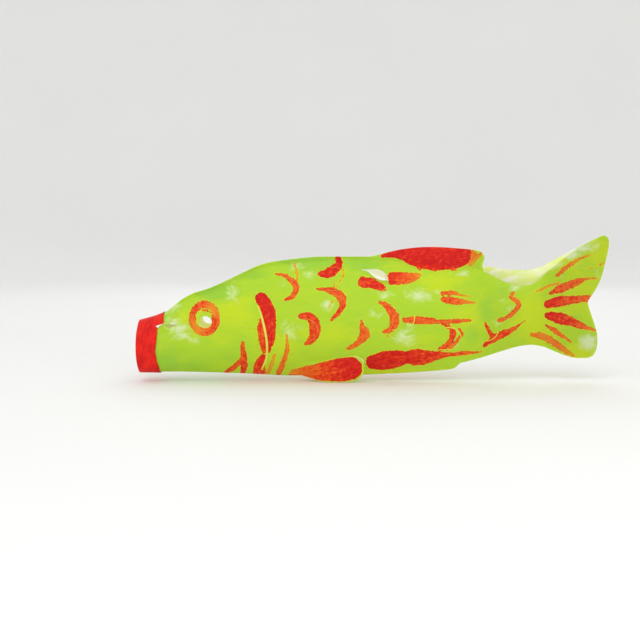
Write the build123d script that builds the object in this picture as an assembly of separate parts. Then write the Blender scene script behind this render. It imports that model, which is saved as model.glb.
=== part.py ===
"""Carp streamer: a paper fish tube, folded at the belly, glued along the back, held open by a mouth ring.

Millimetres, +Z up. The origin is the centre of the mouth opening, +X runs from mouth to tail and
+Y is the fish's right side. Each side of the fish is one panel of the folded sheet, with scales
and a pectoral fin cut into it as flaps that lift outwards. The tail sways behind the tail stalk.
"""
from build123d import *
import math
import os

# Sheet and ring thicknesses
SHEET = 0.5
BAND_WALL = 0.8
RING_WALL = 0.8
GLUE_HALF = 0.1
FOLD_OFFSET = GLUE_HALF + SHEET / 2
SLIP = 0.45

# Lengths and places along the fish
BAND_LENGTH = 25.0
RING_LENGTH = 20.0
SHEET_START = 10.0
HEAD_END = 60.0
SEAM_START = 28.0
GLUE_START = 60.0
GLUE_END = 362.0
BELLY_OPEN_START = 300.0
STALK_FREE_START = 340.0
STALK_FREE_END = 366.0
STALK_END = 432.0
TAIL_START = 435.5

# Overlap of the back strip with the curved sheets, and the margin of its glue line
STRIP_LAP = 0.8
GLUE_MARGIN = 0.6

# Flaps cut into the panels
SCALE_LENGTH = 21.0
SCALE_HEIGHT = 24.0
SCALE_NOSE = 13.0
CUT_GAP = 0.4
ROOT_GAP = 0.6
REACH = 60.0

# Eye, nostril and gill cuts
EYE_AT = (72.5, 28.0)
EYE_HOLE = (7.0, 6.0)
NOSTRIL_AT = (36.0, 24.0)
NOSTRIL_SIZE = (6.5, 2.4)
GILL_TOP = (128.5, 45.0)
GILL_MID = (138.0, 8.0)
GILL_FOOT = (131.0, -24.0)
SLIT_WIDTH = 0.9

# Pectoral fin: a long flap that hangs straight down from the bulge of the belly
FIN_ROOT_X = 158.0
FIN_TIP_X = 240.0
FIN_ROOT_TOP = -16.5
FIN_REAR_TOP = -7.0
FIN_WINDOW_FOOT = -28.5
FIN_ROOT_DROP = 22.0
FIN_REAR_DROP = 28.0
FIN_NOSE = 17.0
FIN_REAR_ROUND = 5.0
FIN_STAND_OFF = 1.2
FIN_TUCK = 2.5
FIN_FREE_SHARE = 0.6

# Smooth profile curves, each a list of (x, value) along the fish
BACK = [(0, 27), (25, 35), (47, 51.2), (58, 57), (74, 62), (97, 72.2), (113, 80), (132, 88),
        (151, 91.8), (198, 96), (247, 96), (300, 93.6), (345, 89.5), (366, 86.5)]
BELLY = [(0, -27), (25, -27.2), (55, -27.6), (113, -29.3), (160, -31.5), (235, -30.8), (271, -29.5),
         (307, -27.2), (330, -25.3), (350, -20.5), (369, -13.5), (387, -7), (404, -2), (420, 0.5),
         (432, -1.5)]
SEAM_DEPTH = [(0, 0), (28, 0.3), (60, 5), (345, 5), (366, 5)]
LEFT_STALK_TOP = [(340, 84.9), (360, 81.8), (373, 77.5), (384, 71.5), (395, 67.2), (405, 65.2),
                  (417, 66.5), (425, 70.3), (432, 77)]
RIGHT_STALK_TOP = [(340, 84.9), (360, 85.2), (372, 85.2), (380, 84), (396, 81.6), (413, 81.4), (432, 86)]
LEFT_BULGE = [(0, 19), (25, 21), (60, 24.5), (110, 29), (160, 31), (235, 30), (300, 25), (345, 18.5),
              (385, 13.5), (405, 11), (420, 6), (432, 2.2)]
RIGHT_BULGE = [(0, 19), (25, 21), (60, 24.5), (110, 29), (160, 31), (235, 30), (300, 25), (345, 17),
               (385, 9), (405, 5.5), (420, 3.2), (432, 1.6)]
LEFT_OPEN = [(340, 0), (362, 0), (384, 5), (405, 6.5), (420, 3.5), (432, 0.4)]
RIGHT_OPEN = [(340, 0), (362, 0), (384, 1.4), (405, 1.8), (432, 0.3)]
EDGE_ANGLE = [(0, 89.9), (26, 89.9), (60, 76), (110, 62), (160, 56), (300, 52), (432, 50)]

# Free outlines in the plane of the fish: (x, z)
DORSAL_FIN = [(247, 96), (258, 98.6), (268, 101.2), (282, 104), (302, 106), (325, 105.8), (346, 104.2),
              (360, 102.6), (366.5, 99), (368, 94.5), (366, 86.5)]
BELLY_CUT = [(326, -26), (337, -23.6), (343, -18), (352, -15.6), (369, -11), (387, -5.2), (404, -0.4),
             (420, 1.5), (434, -1)]
RIGHT_TAIL_TOP = [(TAIL_START, 88.8), (458, 100.5), (475, 109.6), (489.5, 116.4)]
LEFT_TAIL_TOP = [(TAIL_START, 80.5), (446, 88.2), (460, 99.6), (475, 109.1), (489.5, 116.4)]
TAIL_REAR = [(489.5, 116.4), (495.6, 118.2), (500.2, 114), (500.2, 104), (494, 76), (488, 62), (480.5, 50),
             (479.3, 46.5), (481.5, 38.5), (487.5, 21), (490, 10), (489.3, -2), (485.5, -10), (479, -12.7)]
TAIL_FOOT = [(479, -12.7), (467, -12.6), (456, -10), (442, -4.5), (TAIL_START, -1.2)]
TAIL_GLUE = [(470, 20), (484, 20), (476, 47), (492, 92), (478, 92), (464, 47)]

# Scales on each side, as the place of the free end: (x of the tip, z of the middle)
SCALES = [(172, 61), (191, 20), (220, 73), (221, 44), (247, 12), (265, 71), (292, 32), (342, 10),
          (382, 19), (406, 43)]

LEFT = -1
RIGHT = 1


def flow(points, x):
    """Value at x of a smooth curve through the points, with no overshoot between them."""
    xs = [p[0] for p in points]
    ys = [p[1] for p in points]
    if x <= xs[0]:
        return ys[0]
    if x >= xs[-1]:
        return ys[-1]
    gaps = [b - a for a, b in zip(xs, xs[1:])]
    slopes = [(b - a) / gap for a, b, gap in zip(ys, ys[1:], gaps)]
    tangents = [slopes[0]]
    for left, right in zip(slopes, slopes[1:]):
        same_way = left * right > 0
        tangents.append(2 * left * right / (left + right) if same_way else 0)
    tangents.append(slopes[-1])
    i = max(k for k in range(len(gaps)) if xs[k] <= x)
    t = (x - xs[i]) / gaps[i]
    rise = ys[i] * (1 + 2 * t) * (1 - t) ** 2 + ys[i + 1] * t * t * (3 - 2 * t)
    lean = gaps[i] * (tangents[i] * t * (1 - t) ** 2 + tangents[i + 1] * t * t * (t - 1))
    return rise + lean


def ease(start, end, x):
    """0 before start, 1 after end, and a smooth step between."""
    t = min(1, max(0, (x - start) / (end - start)))
    return t * t * (3 - 2 * t)


def seam_line(x):
    """Height where the two panels come together below the glued strip of the back."""
    return flow(BACK, x) - flow(SEAM_DEPTH, x)


def top_line(side, x):
    """Height of a panel's curved part, which ends free along the tail stalk."""
    stalk = LEFT_STALK_TOP if side == LEFT else RIGHT_STALK_TOP
    free = ease(STALK_FREE_START, STALK_FREE_END, x)
    return seam_line(x) + (flow(stalk, x) - seam_line(x)) * free


def panel_point(side, x, turn):
    """Point of a panel's middle surface. turn runs from -1 at the belly to 1 at the back."""
    top = top_line(side, x)
    belly = flow(BELLY, x)
    edge = math.radians(flow(EDGE_ANGLE, x))
    angle = turn * edge
    bulge = flow(LEFT_BULGE if side == LEFT else RIGHT_BULGE, x)
    parting = flow(LEFT_OPEN if side == LEFT else RIGHT_OPEN, x)
    height = math.sin(angle) / math.sin(edge)
    out = bulge * (math.cos(angle) - math.cos(edge)) / (1 - math.cos(edge))
    out += parting * (1 + height) / 2 + FOLD_OFFSET
    return Vector(x, side * out, (top + belly) / 2 + height * (top - belly) / 2)


def panel_out(side, x, z):
    """Distance of a panel from the middle plane of the fish at x and z."""
    top = top_line(side, x)
    belly = flow(BELLY, x)
    edge = math.radians(flow(EDGE_ANGLE, x))
    height = (2 * z - top - belly) / (top - belly)
    turn = math.asin(height * math.sin(edge)) / edge
    return abs(panel_point(side, x, turn).Y)


def thick_sheet(side, rows):
    """Closed sheet of paper around rows of points that run from low to high, each row at one x."""
    sections = []
    for row in rows:
        outer = []
        inner = []
        for before, point, after in zip([row[0]] + row, row, row[1:] + [row[-1]]):
            run = after - before
            normal = Vector(0, run.Z, -run.Y).normalized() * side
            outer.append(point + normal * (SHEET / 2))
            inner.append(point - normal * (SHEET / 2))
        inner.reverse()
        edges = [Spline(*outer), Line(outer[-1], inner[0]), Spline(*inner), Line(inner[-1], outer[0])]
        sections.append(make_face(edges))
    return loft(sections)


def curved_sheet(side, places, turns=10):
    """The bulging part of one panel over a list of x places, before anything is cut."""
    rows = [[panel_point(side, x, 2 * j / turns - 1) for j in range(turns + 1)] for x in places]
    return thick_sheet(side, rows)


def evenly(start, end, steps):
    """Places from start to end, both included."""
    return [start + (end - start) * i / steps for i in range(steps + 1)]


def prism(side, face, near=0.0, far=REACH):
    """A face drawn in the fish's plane, pushed out on one side from near to far."""
    return extrude(Plane.XZ.offset(-side * near) * face, -side * (far - near))


def outline(*stretches):
    """Face inside a closed outline, where each stretch of points is one smooth curve.

    A straight line joins the end of each stretch to the start of the next, where they differ.
    """
    edges = []
    for points, following in zip(stretches, stretches[1:] + stretches[:1]):
        edges.append(Line(*points) if len(points) == 2 else Spline(*points))
        if points[-1] != following[0]:
            edges.append(Line(points[-1], following[0]))
    return make_face(edges)


def along(profile, start, end, lift=0.0):
    """The points of a profile between start and end, with both ends, moved up by lift."""
    inner = [x for x, _ in profile if start < x < end]
    return [(x, flow(profile, x) + lift) for x in [start] + inner + [end]]


def scale_outline(tip_x, z_mid, gap, root_gap):
    """One scale: a square root, straight sides and a rounded free end towards the tail."""
    root = tip_x - SCALE_LENGTH + root_gap
    shoulder = tip_x - SCALE_NOSE
    half = SCALE_HEIGHT / 2 - gap
    nose = SCALE_NOSE - gap
    square = Pos((root + shoulder) / 2, z_mid) * Rectangle(shoulder - root, 2 * half)
    rounded = Pos(shoulder, z_mid) * Ellipse(nose, half)
    ahead = Pos(shoulder - nose, z_mid) * Rectangle(2 * nose, 2 * half + 2)
    return square + (rounded - ahead)


def fin_top(x):
    """Height of the pectoral fin's upper edge."""
    share = (x - FIN_ROOT_X) / (FIN_TIP_X - FIN_ROOT_X)
    return FIN_ROOT_TOP + (FIN_REAR_TOP - FIN_ROOT_TOP) * share


def fin_window():
    """Hole that the pectoral fin is cut from, with a rounded rear end."""
    shoulder = FIN_TIP_X - FIN_NOSE / 2
    rear_x = FIN_TIP_X - 1
    middle = (fin_top(FIN_TIP_X) + FIN_WINDOW_FOOT) / 2
    top = [(FIN_ROOT_X, fin_top(FIN_ROOT_X)), (shoulder, fin_top(shoulder))]
    rear = [top[1], (rear_x, middle + FIN_REAR_ROUND), (rear_x, middle - FIN_REAR_ROUND),
            (shoulder, FIN_WINDOW_FOOT)]
    foot = [rear[-1], (FIN_ROOT_X, FIN_WINDOW_FOOT)]
    return outline(top, rear, foot)


def fin_point(side, share, down):
    """Point of the pectoral fin, which follows the belly at its root and hangs straight behind."""
    x = FIN_ROOT_X + ROOT_GAP + (FIN_TIP_X - FIN_ROOT_X - ROOT_GAP) * share
    top = fin_top(x) - CUT_GAP
    belly_z = top + (FIN_WINDOW_FOOT + CUT_GAP - top) * down
    on_belly = panel_out(side, x, belly_z)
    free = ease(0, FIN_FREE_SHARE, share)
    drop = FIN_ROOT_DROP + (FIN_REAR_DROP - FIN_ROOT_DROP) * share
    hanging = panel_out(side, x, top) + FIN_STAND_OFF - FIN_TUCK * down * down
    out = on_belly + (hanging - on_belly) * free
    z = belly_z + (top - drop * down - belly_z) * free
    return Vector(x, side * out, z)


def pectoral_fin(side):
    """The hanging flap, with its rear corners rounded off."""
    rows = [[fin_point(side, i / 16, 1 - j / 8) for j in range(9)] for i in range(17)]
    sheet = thick_sheet(side, rows)
    top = fin_top(FIN_TIP_X)
    middle = top - FIN_REAR_DROP / 2
    shoulder = FIN_TIP_X - FIN_NOSE
    body = Pos((FIN_ROOT_X + shoulder) / 2, middle) * Rectangle(shoulder - FIN_ROOT_X, 2 * FIN_REAR_DROP)
    rear = Pos(shoulder, middle) * Ellipse(FIN_NOSE, FIN_REAR_DROP / 2 + 1)
    return sheet & prism(side, body + rear)


def eye_cuts(side):
    """Eye hole, nostril slot and gill slit of one side."""
    eye = Pos(*EYE_AT) * Ellipse(*EYE_HOLE)
    nostril = Pos(*NOSTRIL_AT) * Rot(0, 0, 8) * Ellipse(*NOSTRIL_SIZE)
    back = ThreePointArc(GILL_TOP, GILL_MID, GILL_FOOT)
    gill = trace(back, SLIT_WIDTH)
    return [prism(side, eye), prism(side, nostril), prism(side, gill)]


def back_strip():
    """Flat glued strip along the back with half of the dorsal fin."""
    back = along(BACK, SEAM_START, DORSAL_FIN[0][0])
    rear_x = DORSAL_FIN[-1][0]
    inner = [(x, seam_line(x) - STRIP_LAP) for x, _ in along(BACK, SEAM_START, rear_x)]
    inner.reverse()
    return outline(back, DORSAL_FIN[:8], DORSAL_FIN[7:10], DORSAL_FIN[9:], inner)


def scale(side, tip_x, z_mid):
    """One scale flap, cut from a short stretch of the same curved sheet."""
    flap = prism(side, scale_outline(tip_x, z_mid, CUT_GAP, ROOT_GAP))
    margin = 2.0
    return curved_sheet(side, evenly(tip_x - SCALE_LENGTH - margin, tip_x + margin, 5)) & flap


def panel(side):
    """One side of the folded sheet with its windows, slots and half of the dorsal fin."""
    sheet = curved_sheet(side, evenly(SHEET_START, HEAD_END, 10) + evenly(HEAD_END, STALK_END, 32)[1:])
    foot = BELLY_CUT[0][1]
    low = foot - REACH / 2
    waste = outline([(BELLY_OPEN_START, low), (BELLY_CUT[-1][0], low)], BELLY_CUT[::-1],
                    [(BELLY_OPEN_START, foot - SCALE_NOSE / 2), (BELLY_OPEN_START, low)])
    sheet = sheet - prism(side, waste, near=-REACH)
    windows = [prism(side, scale_outline(tip_x, z_mid, 0, 0)) for tip_x, z_mid in SCALES]
    windows.append(prism(side, fin_window()))
    strip = prism(side, back_strip(), near=GLUE_HALF, far=GLUE_HALF + SHEET)
    return (sheet + strip) - (windows + eye_cuts(side))


def oval_tube(start, end, inner_gap, wall, steps=5):
    """Oval ring that follows the mouth from start to end, inner_gap outside the panels' middle."""
    rings = []
    for gap in (inner_gap + wall, inner_gap):
        sections = []
        for i in range(steps + 1):
            x = start + (end - start) * i / steps
            top = seam_line(x)
            belly = flow(BELLY, x)
            oval = Ellipse(flow(LEFT_BULGE, x) + FOLD_OFFSET + gap, (top - belly) / 2 + gap)
            sections.append(Pos(x, 0, (top + belly) / 2) * (Plane.YZ * oval))
        rings.append(loft(sections))
    return rings[0] - rings[1]


def tail_half(side):
    """One layer of the tail fin, flat and one sheet thick."""
    top = LEFT_TAIL_TOP if side == LEFT else RIGHT_TAIL_TOP
    face = outline(top, TAIL_REAR[:3], TAIL_REAR[2:4], TAIL_REAR[3:7], TAIL_REAR[6:9], TAIL_REAR[8:],
                   TAIL_FOOT)
    return prism(side, face, near=GLUE_HALF, far=GLUE_HALF + SHEET)


def tail_glue():
    """Glue between the two tail layers, behind the tail stalk."""
    return extrude(Plane.XZ * make_face(Polyline(*TAIL_GLUE, close=True)), GLUE_HALF, both=True)


def back_glue():
    """Glue line between the two strips of the back."""
    upper = along(BACK, GLUE_START, GLUE_END, lift=-GLUE_MARGIN)
    lower = [(x, seam_line(x) + STRIP_LAP) for x, _ in upper]
    lower.reverse()
    return extrude(Plane.XZ * outline(upper, lower), GLUE_HALF, both=True)


def hinge_line(side, root_x, z_low, z_high):
    """Place and direction of a flap's root fold, on the outermost point of its root."""
    lowest = panel_out(side, root_x, z_low)
    highest = panel_out(side, root_x, z_high)
    lean = Vector(0, side * (highest - lowest), z_high - z_low).normalized()
    middle = (z_low + z_high) / 2
    out = panel_out(side, root_x, middle) + SHEET / 2
    return Vector(root_x, side * out, middle), lean * side


def save(name, shape):
    """Write one sub-part as parts/NAME.step."""
    export_step(shape, f"parts/{name}.step")


def main():
    """Build every sub-part and print the hinge lines of the flaps."""
    os.makedirs("parts", exist_ok=True)
    for side, word in ((LEFT, "left"), (RIGHT, "right")):
        save(f"{word}_side_panel", panel(side))
        for number, (tip_x, z_mid) in enumerate(SCALES, start=1):
            save(f"{word}_scale_{number:02d}", scale(side, tip_x, z_mid))
            half = SCALE_HEIGHT / 2
            place, lean = hinge_line(side, tip_x - SCALE_LENGTH, z_mid - half, z_mid + half)
            print(f"{word}_scale_{number:02d}", place, lean)
        save(f"{word}_pectoral_fin", pectoral_fin(side))
        place, lean = hinge_line(side, FIN_ROOT_X, FIN_WINDOW_FOOT, FIN_ROOT_TOP)
        print(f"{word}_pectoral_fin", place, lean)
        save(f"{word}_tail_fin", tail_half(side))
    save("mouth_band", oval_tube(0, BAND_LENGTH, SLIP, BAND_WALL))
    save("mouth_ring", oval_tube(0.5, RING_LENGTH, -SLIP - RING_WALL, RING_WALL))
    save("back_seam_glue", back_glue())
    save("tail_glue", tail_glue())


if __name__ == "__main__":
    main()
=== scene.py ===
"""Carp streamer: the painted paper skins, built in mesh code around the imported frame.

Shapes are worked out in millimetres in the frame's own axes (+X mouth to tail, +Z up, -Y the
fish's left side) and turned into metres when a mesh is made.
"""
import math

import bpy
import numpy as np
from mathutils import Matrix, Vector, noise
from mathutils.geometry import delaunay_2d_cdt
from mathutils.kdtree import KDTree


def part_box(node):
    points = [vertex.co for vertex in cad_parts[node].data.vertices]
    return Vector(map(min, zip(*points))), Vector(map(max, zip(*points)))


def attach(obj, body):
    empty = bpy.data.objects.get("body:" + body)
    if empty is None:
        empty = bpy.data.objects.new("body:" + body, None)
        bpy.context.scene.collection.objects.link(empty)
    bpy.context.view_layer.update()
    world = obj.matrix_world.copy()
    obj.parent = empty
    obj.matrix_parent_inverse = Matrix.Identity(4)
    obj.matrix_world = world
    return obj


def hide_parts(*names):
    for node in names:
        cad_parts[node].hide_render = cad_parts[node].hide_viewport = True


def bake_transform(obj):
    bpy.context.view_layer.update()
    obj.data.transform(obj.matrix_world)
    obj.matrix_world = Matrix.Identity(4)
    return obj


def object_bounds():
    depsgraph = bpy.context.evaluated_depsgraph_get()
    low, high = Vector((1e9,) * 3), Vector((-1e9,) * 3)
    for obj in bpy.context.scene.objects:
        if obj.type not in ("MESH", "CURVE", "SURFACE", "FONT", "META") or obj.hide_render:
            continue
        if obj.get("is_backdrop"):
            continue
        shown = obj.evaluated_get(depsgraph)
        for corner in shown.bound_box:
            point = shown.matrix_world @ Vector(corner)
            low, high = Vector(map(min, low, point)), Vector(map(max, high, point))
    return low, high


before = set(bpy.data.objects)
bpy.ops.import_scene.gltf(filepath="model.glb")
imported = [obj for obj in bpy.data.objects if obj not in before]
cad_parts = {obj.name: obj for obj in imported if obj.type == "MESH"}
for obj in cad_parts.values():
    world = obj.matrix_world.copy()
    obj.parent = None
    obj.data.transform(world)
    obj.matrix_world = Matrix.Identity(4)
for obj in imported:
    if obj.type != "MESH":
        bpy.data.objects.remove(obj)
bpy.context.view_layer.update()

MM = 0.001
LEFT = -1
RIGHT = 1

# Sheet and mesh sizes, millimetres
FOLD_OFFSET = 0.35
FOLD_GAP = 0.02
PROUD = 0.2
PAPER = 0.34
STEP = 1.35
FLAP_STEP = 1.1
GLUE_STEP = 3.0
RIM_STEP = 0.5
CUT_WIDTH = 0.08
CREASE = 1.3
FAR_FROM_CUT = 9.0

# Where things are along the fish, millimetres
SHEET_START = 10.0
STALK_FREE_START = 340.0
STALK_FREE_END = 366.0
FOLD_END = 330.0
BELLY_OPEN = 345.0
TAIL_END = 502.0
ROOT_LEAD = 2.0

# Scales in order from 01: how far the free end stands off, and how far the yellow line along the
# cut is held back. The last list is for the eye, the nostril and the gill slit.
SCALE_LIFTS = [0.12, 0.15, 0.12, 0.15, 0.12, 0.8, 0.35, 0.35, 0.2, 0.25]
CUT_HUSH = [0.45, 0.45, 0.4, 0.4, 0.45, 0.3, 0.0, 0.0, 0.0, 0.35]
FIN_WINDOW_HUSH = 0.2
FIN_HUSH = 0.1
OPENING_HUSH = [0.1, 0.3, -0.45]

# The left scale that is curled open: its number from 0, how it is rolled, and how far below its
# top the roll starts and ends
CURLED = 5
CURL_LEAD = 8.0
CURL_RADIUS = 4.4
CURL_DROPS = (4.5, 17.0)

# Relief of the paper, millimetres: dents and ripples as (height, size of a feature), and how far
# the ripples of the seam and the fold reach. There are no dents in the margin beside either.
BROAD_DENTS = (0.55, 46)
SMALL_DENTS = (0.22, 19)
SEAM_RIPPLE = (0.28, 13)
MOUTH_RIPPLE = (0.35, 12)
SEAM_REACH = 11
FOLD_REACH = 9
STILL_MARGIN = 14

# Lips of the cuts and the slow bend of the tail, millimetres
GILL_LIP = 1.3
GILL_LIP_REACH = 26
NOSTRIL_LIPS = (0.9, -0.8)
NOSTRIL_LIP_REACH = (11, 6)
TAIL_WAVE = 1.3
TAIL_WAVE_REACH = (440, 500)
TAIL_WAVE_MIDDLE = 40
TAIL_WAVE_LENGTH = 34

# Smooth profiles of the fish, as (x, value)
BACK = [(0, 27), (25, 35), (47, 51.2), (58, 57), (74, 62), (97, 72.2), (113, 80), (132, 88),
        (151, 91.8), (198, 96), (247, 96), (300, 93.6), (345, 89.5), (366, 86.5)]
BELLY = [(0, -27), (25, -27.2), (55, -27.6), (113, -29.3), (160, -31.5), (235, -30.8), (271, -29.5),
         (307, -27.2), (330, -25.3), (350, -20.5), (369, -13.5), (387, -7), (404, -2), (420, 0.5),
         (432, -1.5)]
SEAM_DEPTH = [(0, 0), (28, 0.3), (60, 5), (345, 5), (366, 5)]
STALK_TOP = {LEFT: [(340, 84.9), (360, 81.8), (373, 77.5), (384, 71.5), (395, 67.2), (405, 65.2),
                    (417, 66.5), (425, 70.3), (432, 77)],
             RIGHT: [(340, 84.9), (360, 85.2), (372, 85.2), (380, 84), (396, 81.6), (413, 81.4), (432, 86)]}
BULGE = {LEFT: [(0, 19), (25, 21), (60, 24.5), (110, 29), (160, 31), (235, 30), (300, 25), (345, 18.5),
                (385, 13.5), (405, 11), (420, 6), (432, 2.2), (448, 0.5), (462, 0)],
         RIGHT: [(0, 19), (25, 21), (60, 24.5), (110, 29), (160, 31), (235, 30), (300, 25), (345, 17),
                 (385, 9), (405, 5.5), (420, 3.2), (432, 1.6), (448, 0.4), (462, 0)]}
PARTING = {LEFT: [(340, 0), (362, 0), (384, 5), (405, 6.5), (420, 3.5), (432, 0.4), (442, 0)],
           RIGHT: [(340, 0), (362, 0), (384, 1.4), (405, 1.8), (432, 0.3), (442, 0)]}
EDGE_ANGLE = [(0, 89.9), (26, 89.9), (60, 76), (110, 62), (160, 56), (300, 52), (432, 50)]

# Free outlines in the plane of the fish: (x, z)
DORSAL_FIN = [(247, 96), (258, 98.6), (268, 101.2), (282, 104), (302, 106), (325, 105.8), (346, 104.2),
              (360, 102.6), (366.5, 99), (368, 94.5), (366, 86.5)]
BELLY_CUT = [(326, -26), (337, -23.6), (343, -18), (352, -15.6), (369, -11), (387, -5.2), (404, -0.4),
             (420, 1.5), (434, -1)]
TAIL_TOP = {LEFT: [(436, 81), (446, 88.2), (460, 99.6), (475, 109.1), (489.5, 116.4)],
            RIGHT: [(436, 89), (458, 100.5), (475, 109.6), (489.5, 116.4)]}
TAIL_REAR = [(489.5, 116.4), (495.6, 118.2), (500.2, 114), (500.2, 104), (494, 76), (488, 62), (480.5, 50),
             (479.3, 46.5), (481.5, 38.5), (487.5, 21), (490, 10), (489.3, -2), (485.5, -10), (479, -12.7)]
TAIL_FOOT = [(479, -12.7), (467, -12.6), (456, -10), (442, -4.5), (434, -1)]
TAIL_GLUE = [(470, 20), (484, 20), (476, 47), (492, 92), (478, 92), (464, 47)]
GLUE_THICKNESS = 0.2

# Cuts
EYE_AT = (72.5, 28.0)
EYE_HOLE = (7.0, 6.0)
NOSTRIL_AT = (36.0, 24.0)
NOSTRIL_SIZE = (6.5, 1.9)
NOSTRIL_TILT = math.radians(8)
GILL = [(128.5, 45.0), (133.9, 28.0), (137.4, 8.0), (136.6, -10.0), (131.0, -24.0)]
GILL_WIDTH = 0.4
SCALE_NOSE = 13.0
CAD_CUT_GAP = 0.4
CAD_ROOT_GAP = 0.6

# Pectoral fin: its outline as in the frame, how it hangs, and its wave as (height, size)
FIN_ROOT_X = 158.0
FIN_TIP_X = 240.0
FIN_ROOT_TOP = -16.5
FIN_REAR_TOP = -7.0
FIN_WINDOW_FOOT = -28.5
FIN_ROOT_DROP = 22.0
FIN_REAR_DROP = 28.0
FIN_NOSE = 17.0
FIN_STAND_OFF = 1.2
FIN_TUCK = 2.5
FIN_FREE_SHARE = 0.6
FIN_WAVE = (0.5, 22)

# Red band round the mouth; BAND_EDGE is its rear edge as (z, x)
BAND_START = 0.9
BAND_MIDDLE = 12
BAND_GAP = FOLD_OFFSET + 0.5
BAND_WALL = 0.55
BAND_ROLL = 0.75
BAND_BOW = 1.6
BAND_REACH = 24.5
BAND_EDGE = [(-28, 22.6), (-21.8, 22.4), (-12.9, 20.6), (-4, 19.8), (6.7, 21), (17.4, 21.8), (18.8, 22.5),
             (20.4, 28), (27, 27.4), (36, 25.5)]
BAND_AROUND = 260
BAND_LENGTHWISE = 26

# Eye point of the camera, millimetres: level with the middle of the flank, a little above
LOOK_AT = Vector((193.1, 0.0, 28.1))
EYE_DISTANCE = 1200.0
EYE_ELEVATION = math.radians(5.0)
EYE = LOOK_AT + Vector((0, -math.cos(EYE_ELEVATION), math.sin(EYE_ELEVATION))) * EYE_DISTANCE
VIEW_WIDTH = 684.8

# Round floor that bends up into a wall, millimetres
FLOOR_MIDDLE = 200
FLOOR_HEART = 10
FLOOR_REACH = 2000
FLOOR_BEND = 1200
FLOOR_BEND_STEPS = 16
FLOOR_AROUND = 72
FLOOR_GAP = 0.8
WALL_HEIGHT = 2200

SHARP_ANGLE = math.radians(50)


# ---------------------------------------------------------------- curves and helpers

def columns(*parts):
    """One row for each point from lists of its coordinates."""
    return np.column_stack(parts)


def flow(points, x):
    """Values at x of a smooth curve through the points, with no overshoot between them."""
    xs, ys = (np.array(v, float) for v in zip(*points))
    gaps = np.diff(xs)
    slopes = np.diff(ys) / gaps
    product = slopes[:-1] * slopes[1:]
    total = slopes[:-1] + slopes[1:]
    inner = np.where(product > 0, 2 * product / np.where(total == 0, 1, total), 0)
    tangents = np.concatenate(([slopes[0]], inner, [slopes[-1]]))
    x = np.clip(np.asarray(x, float), xs[0], xs[-1])
    i = np.clip(np.searchsorted(xs, x, side="right") - 1, 0, len(gaps) - 1)
    t = (x - xs[i]) / gaps[i]
    rise = ys[i] * (1 + 2 * t) * (1 - t) ** 2 + ys[i + 1] * t * t * (3 - 2 * t)
    return rise + gaps[i] * (tangents[i] * t * (1 - t) ** 2 + tangents[i + 1] * t * t * (t - 1))


def ease(start, end, x):
    """0 before start, 1 after end, and a smooth step between."""
    t = np.clip((np.asarray(x, float) - start) / (end - start), 0, 1)
    return t * t * (3 - 2 * t)


def smooth_path(points, per_run=8):
    """Points along a smooth open curve through the given ones."""
    p = np.array(points, float)
    p = np.vstack((2 * p[0] - p[1], p, 2 * p[-1] - p[-2]))
    out = []
    for a, b, c, d in zip(p, p[1:], p[2:], p[3:]):
        for t in np.arange(per_run) / per_run:
            out.append(0.5 * (2 * b + (c - a) * t + (2 * a - 5 * b + 4 * c - d) * t * t
                              + (3 * b - a - 3 * c + d) * t ** 3))
    out.append(p[-2])
    return np.array(out)


def resample(loop, step):
    """A closed loop of points no further than step apart, keeping its corners."""
    out = []
    for a, b in zip(loop, np.roll(loop, -1, axis=0)):
        pieces = max(1, math.ceil(np.linalg.norm(b - a) / step))
        out += [a + (b - a) * i / pieces for i in range(pieces)]
    return np.array(out)


def cut_line(loop):
    """Closely spaced points along a flap's cut, which is all of its loop but the root."""
    root = np.linalg.norm(loop[0] - loop[-1])
    return resample(loop, RIM_STEP)[:-max(1, math.ceil(root / RIM_STEP))]


def thinned(loop, least):
    """A closed loop without points nearer than least to the one before."""
    kept = [loop[0]]
    for p in loop[1:]:
        if np.linalg.norm(p - kept[-1]) >= least:
            kept.append(p)
    if np.linalg.norm(kept[-1] - kept[0]) < least * 0.5:
        kept.pop()
    return np.array(kept)


def inside(points, loop):
    """Which points lie inside a closed loop."""
    x, y = points[:, 0], points[:, 1]
    result = np.zeros(len(points), bool)
    for (x0, y0), (x1, y1) in zip(loop, np.roll(loop, -1, axis=0)):
        if y0 == y1:
            continue
        crosses = ((y0 > y) != (y1 > y)) & (x < (x1 - x0) * (y - y0) / (y1 - y0) + x0)
        result ^= crosses
    return result


def nearest_finder(points):
    """Search tree of flat places."""
    tree = KDTree(len(points))
    for i, p in enumerate(points):
        tree.insert((p[0], p[1], 0), i)
    tree.balance()
    return lambda p: tree.find((p[0], p[1], 0))


def ripple(points, size, seed):
    """Smooth noise from -1 to 1 at each point, with features about size millimetres wide."""
    shift = Vector((seed * 13.7, seed * 5.1, seed * 9.3))
    return np.array([noise.noise(Vector(p) / size + shift) for p in points])


# ---------------------------------------------------------------- the folded sheet as a surface

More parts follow.
